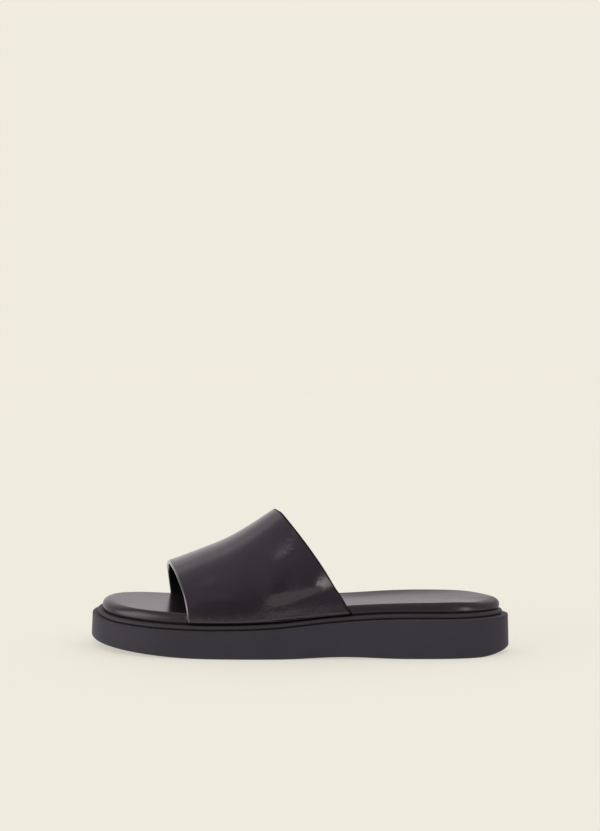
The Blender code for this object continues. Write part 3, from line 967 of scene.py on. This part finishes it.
def box_calf():
    # Pressed between hot plates, then polished: a deep black that lives from what it mirrors
    material, tree, place = blank_material("polished_box_calf")
    pores = add(tree, "ShaderNodeTexVoronoi", sized(place, CALF_PORE)).outputs["Distance"]
    uneven = sized(place, CALF_HIDE, Detail=3.5, Roughness=0.62)
    hide = add(tree, "ShaderNodeTexNoise", uneven).outputs["Fac"]
    along_band = {"Vector": place["UV"], "Scale": (scale_of(BREAK_LENGTH), scale_of(BREAK_WIDTH), 1.0)}
    stretch = add(tree, "ShaderNodeMapping", along_band).outputs[0]
    grain = {"Vector": stretch, "Scale": 1.0, "Detail": 2.0}
    breaks = add(tree, "ShaderNodeTexNoise", grain).outputs["Fac"]
    flex = add(tree, "ShaderNodeAttribute", attribute_name="flex").outputs["Fac"]
    broken = add(tree, "ShaderNodeMath", {0: breaks, 1: flex}, operation="MULTIPLY").outputs[0]
    dull = add(tree, "ShaderNodeMapRange", {"Value": hide, "To Min": 0.15, "To Max": 0.21})
    reliefs = [(pores, 0.10, 0.06), (hide, 1.0, 0.2), (broken, 0.6, 0.2)]
    inputs = {
        "Roughness": dull.outputs["Result"],
        "Specular Tint": linear("#FAECFF"),
        "Specular IOR Level": 0.72,
        "Coat Weight": 0.1,
        "Coat Roughness": 0.25,
    }
    return surface(material, ("#0F0D10", "#151217"), hide, reliefs, inputs)


calf = box_calf()
print("material:", calf.name)

# %% Lining and edge paint
HAIR_SPACING, PAINT_RUN = 1.6, 3.0  # mm


def pigskin_lining():
    # Unfinished, with pits where the bristles grew: a dry black that swallows the light inside the band
    material, tree, place = blank_material("pigskin_lining")
    pits = add(tree, "ShaderNodeTexVoronoi", sized(place, HAIR_SPACING)).outputs["Distance"]
    inputs = {"Roughness": 0.7, "Specular IOR Level": 0.25}
    return surface(material, ("#0A0809", "#100D0F"), pits, [(pits, 0.3, 0.1)], inputs)


def edge_paint():
    # Several thick coats that flow out as they dry: a glossy bead that catches a thin line of light
    material, tree, place = blank_material("acrylic_edge_paint")
    runs = add(tree, "ShaderNodeTexNoise", sized(place, PAINT_RUN, Detail=1.0)).outputs["Fac"]
    inputs = {"Roughness": 0.2, "Specular IOR Level": 1.0, "Coat Weight": 1.0, "Coat Roughness": 0.12}
    return surface(material, ("#120F11", "#1A1618"), runs, [(runs, 0.2, 0.1)], inputs)


band_leathers = (calf, pigskin_lining(), edge_paint())
CALF, LINING, PAINT = range(3)
print("materials of the band:", ", ".join(leather.name for leather in band_leathers))

# %% [markdown]
# ## The last
#
# A band is pulled over a last, a wooden foot, and keeps its form. The last's section is a
# superellipse: it springs upright from the footbed's edge, is a little fuller than a circle, and
# has its ridge set over to the inner side, as an instep has. The table gives the ridge's height
# along the foot.

# %% Surface of the last, in millimetres
RIDGE = (  # along, height
    (-90, 48.9),
    (-82, 51.6),
    (-63, 58.9),
    (-44, 67.1),
    (-30, 75.4),
    (-16, 84.8),
    (10, 101.0),
    (44, 116.5),
)
SIDE_FULLNESS, RIDGE_SETOVER, SPRING_DROP = 2.15, 4.0, 2.4


def feather_point(along, side, inward=0.0):
    """Plan points on the band's inner face at its foot, moved in square to the sole's edge."""
    line = edge - outward * (feather_setback + inward)[:, None]
    sample = place_on_edge(along, side, feather_setback)
    index = np.arange(len(edge))
    return np.interp(sample, index, line[:, 0]), np.interp(sample, index, line[:, 1])


def last_surface(along, turn):
    """Points of the last at places along the foot and one turn of its section."""
    feather = feather_point(along, math.copysign(1.0, turn))[1]
    spring = footbed_edge(along) - SPRING_DROP
    angle = (1 - abs(turn)) * math.pi / 2
    reach = math.cos(angle) ** (2 / SIDE_FULLNESS)
    rise = math.sin(angle) ** (2 / SIDE_FULLNESS)
    across = RIDGE_SETOVER + (feather - RIDGE_SETOVER) * reach
    return np.stack([along, across, spring + (through(RIDGE, along) - spring) * rise], axis=1)


print("last at the ball:", last_surface(np.array([-46.0]), 0.0).round(1))

# %% [markdown]
# ## Creases
#
# New leather on a last isn't perfectly even: it swells a little over the joint of the little toe,
# dips where it is pulled towards the sole, and rolls where it will bend. Each of these is a soft
# trough or ridge, listed one by one: from where to where it runs on the band, how wide it is
# and how high. Noise would put them anywhere; sculpting couldn't be repeated.

# %% Creases, in millimetres
GIRTH = 88.0  # round the section from the ridge to the spring, near the rear edge
# Each crease: start along and round, end along and round, width past the ends, width above it,
# width below it at the start and at the end, height at the start and at the end
CREASES = (
    (-9.0, -75.2, 9.5, -75.6, 8.0, 12.0, 5.2, 3.6, 1.4, 1.5),  # roll over the joint of the little toe
    (-8.0, -85.7, 24.0, -80.7, 5.0, 1.6, 7.0, 8.0, 0.25, 0.30),  # lip of the crease under it
    (29.0, -70.0, 29.0, -80.3, 9.0, 6.0, 2.0, 2.0, -1.5, -1.5),  # rear edge, drawn in beside it
    (-12.0, -61.5, -7.5, -62.0, 11.0, 9.5, 16.5, 16.5, 2.0, 2.0),  # swelling above it
    (-58.0, -74.6, -42.0, -76.0, 4.0, 5.0, 3.0, 3.0, 0.45, 0.45),  # small swelling near the front edge
    (-24.0, 77.0, 2.0, 76.0, 6.0, 6.0, 6.0, 6.0, 0.4, 0.7),  # roll over the joint of the big toe
)


def crease_height(along, turn):
    """How far the creases lift the leather at places along one turn of the section."""
    around = turn * GIRTH
    lift = np.zeros_like(along)
    for start_along, start_round, end_along, end_round, past, above, *ends in CREASES:
        run = np.array([end_along - start_along, end_round - start_round])
        reach = np.stack([along - start_along, np.full_like(along, around - start_round)], axis=1)
        share = np.clip(reach @ run / (run @ run), 0, 1)
        below, height = (ends[k] + (ends[k + 1] - ends[k]) * share for k in (0, 2))
        gap = reach - share[:, None] * run
        width = np.where(gap[:, 1] * around < 0, above, below)
        lift += height * np.exp(-((gap[:, 0] / past) ** 2) - (gap[:, 1] / width) ** 2)
    return lift


print("creases:", len(CREASES))

# %% [markdown]
# ## Upper
#
# The wall is built from the inside out: first the lasted surface as a grid, from the free end of
# the outer margin over the ridge to the inner one, then the creases, then the wall's thickness
# along the normals. The Solidify modifier would give square edges, so the two skins are joined here
# by a round, with a fine groove where the leather meets its lining.

# %% Inside of the band, as a grid
ROWS = 110  # from the front edge to the back edge
COLUMNS = 150  # over the arch
SIDE_COLUMNS = 4  # between the feather edge and the arch
BEND_STEPS = 6  # round the feather edge
EDGE_INSET = 0.9  # mm from a cut edge to the place where its round starts


def margin_columns(side):
    """The wall's way from under the footbed, round the feather edge and up its side."""
    way = [(LASTING_MARGIN * share, 0.0) for share in (1.0, 0.75, 0.5, 0.25)]
    way += [(LASTING_BEND * (1 - out), LASTING_BEND * up) for out, up in quarter_round(BEND_STEPS)]
    turn = side * FEATHER_TURN
    along = np.linspace(front_of_band(turn) + EDGE_INSET, back_of_band(turn) - EDGE_INSET, ROWS + 1)
    columns = []
    for inward, up in way:
        x, y = feather_point(along, side, inward)
        columns.append(np.stack([x, y, bead_top(x) + UPPER_WALL + up], axis=1))
    return columns


def arch_columns():
    columns, turns = [], np.linspace(-1, 1, COLUMNS + 1)
    for turn in turns:
        front, back = front_of_band(turn) + EDGE_INSET, back_of_band(turn) - EDGE_INSET
        columns.append(last_surface(np.linspace(front, back, ROWS + 1), turn))
    return columns, turns


def normals(grid):
    """Unit normals of a grid of points, pointing away from the foot."""
    cross = np.cross(np.gradient(grid, axis=1), np.gradient(grid, axis=0))
    return cross / np.linalg.norm(cross, axis=2)[:, :, None]


def lasted_grid():
    outer, inner = margin_columns(-1.0), margin_columns(1.0)[::-1]
    arch, turns = arch_columns()
    shares = np.linspace(0, 1, SIDE_COLUMNS + 2)[1:-1]
    rise_outer = [outer[-1] + share * (arch[0] - outer[-1]) for share in shares]
    rise_inner = [arch[-1] + share * (inner[0] - arch[-1]) for share in shares]
    grid = np.array(outer + rise_outer + arch + rise_inner + inner)
    lift = np.zeros(grid.shape[:2])
    first = len(outer) + SIDE_COLUMNS
    for k, turn in enumerate(turns):
        lift[first + k] = crease_height(grid[first + k, :, 0], turn)
    lift[len(outer) : first] = lift[first]
    lift[first + len(arch) : -len(inner)] = lift[first + len(arch) - 1]
    return grid + normals(grid) * lift[:, :, None], lift


band_inside, band_lift = lasted_grid()
print("grid of the band:", " by ".join(str(count) for count in band_lift.shape), "points")

# %% Wall of the band
EDGE_SWELL = 1.3  # mm that the round stands out at a cut edge
EDGE_GROOVE = 0.18  # mm, depth of the joint between leather and lining
GROOVE_PLACE, GROOVE_WIDTH = 0.4, 0.05  # as shares of the wall
EDGE_STEPS = np.array([0.04, 0.12, 0.22, 0.32, 0.36, 0.40, 0.44, 0.50, 0.60, 0.72, 0.84, 0.92, 0.97])


def rounded_edge(inside, outside, last, before):
    """Rows of points over a cut edge, from the inside to the outside."""
    groove = EDGE_GROOVE * np.exp(-(((EDGE_STEPS - GROOVE_PLACE) / GROOVE_WIDTH) ** 2))
    swell = EDGE_SWELL * np.sqrt(1 - (2 * EDGE_STEPS - 1) ** 2) - groove
    out = inside[:, last] - inside[:, before]
    out /= np.linalg.norm(out, axis=1)[:, None]
    wall = outside[:, last] - inside[:, last]
    return [inside[:, last] + t * wall + s * out for t, s in zip(EDGE_STEPS, swell)]


def wall_loops(inside, outside):
    """Closed loops round the wall: the inside, the rear edge, the outside and the front edge."""
    rows = [inside[:, k] for k in range(ROWS + 1)] + rounded_edge(inside, outside, -1, -2)
    rows += [outside[:, k] for k in range(ROWS, -1, -1)] + rounded_edge(inside, outside, 0, 1)[::-1]
    return np.array(rows).transpose(1, 0, 2)


def wall_faces(loop_count, count):
    """Faces from loop to loop and over the two free ends, each with the finish that it shows."""
    outside_start = ROWS + 1 + len(EDGE_STEPS)
    finish = [LINING] * outside_start + [CALF] * ROWS + [PAINT] * (len(EDGE_STEPS) + 1)
    faces, finishes = [], []
    for low in range(0, (loop_count - 1) * count, count):
        high = low + count
        for k in range(count):
            after = (k + 1) % count
            faces.append((low + k, high + k, high + after, low + after))
        finishes += finish
    for end in (0, (loop_count - 1) * count):
        for k in range(ROWS):
            far = outside_start + ROWS - k
            faces.append((end + k, end + k + 1, end + far - 1, end + far))
        faces.append([end + k for k in range(ROWS, outside_start + 1)])
        faces.append([end + k % count for k in range(outside_start + ROWS, count + 1)])
        finishes += [LINING] * ROWS + [PAINT, PAINT]
    return faces, finishes


band_outside = band_inside + normals(band_inside) * UPPER_WALL
band_loops = wall_loops(band_inside, band_outside)
print("loops of the wall:", len(band_loops), "with", band_loops.shape[1], "points each")

# %% Upper


def upper_mesh():
    count = band_loops.shape[1]
    faces, finishes = wall_faces(len(band_loops), count)
    mesh = bpy.data.meshes.new("upper")
    mesh.from_pydata((band_loops.reshape(-1, 3) * MM).tolist(), [], faces)
    mesh.polygons.foreach_set("material_index", finishes)
    work = bmesh.new()
    work.from_mesh(mesh)
    bmesh.ops.recalc_face_normals(work, faces=work.faces)
    work.to_mesh(mesh)
    work.free()
    mesh.shade_smooth()
    rim = len(EDGE_STEPS)
    rear, front = (np.repeat(band_lift[:, [k]], rim, axis=1) for k in (-1, 0))
    flex = np.clip(np.hstack([band_lift, rear, band_lift[:, ::-1], front]), 0, 1)
    mesh.attributes.new("flex", "FLOAT", "POINT").data.foreach_set("value", flex.ravel())
    steps = np.linalg.norm(np.diff(band_outside[:, ROWS // 2], axis=0), axis=1)
    around = np.repeat(np.concatenate([[0.0], np.cumsum(steps)]), count)
    flat = np.stack([band_loops[:, :, 0].ravel(), around], axis=1) * MM
    corners = np.zeros(len(mesh.loops), dtype=np.int32)
    mesh.loops.foreach_get("vertex_index", corners)
    mesh.uv_layers.new(name="band").uv.foreach_set("vector", flat[corners].ravel())
    return mesh


upper = piece("upper_band", upper_mesh(), *band_leathers)

# %% [markdown]
# ## Handing over
#
# Every piece rides on the one body of the sandal and takes the place of its plain solid, which is
# hidden.

# %% Bodies
for thing, node, slot in (
    (outsole, "outsole", "outsole_rubber"),
    (midsole, "midsole", "midsole_wrap"),
    (footbed, "footbed", "footbed_leather"),
    (upper, "upper", "upper_leather"),
):
    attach(thing, "root")
    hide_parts(node)
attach(tread, "root")
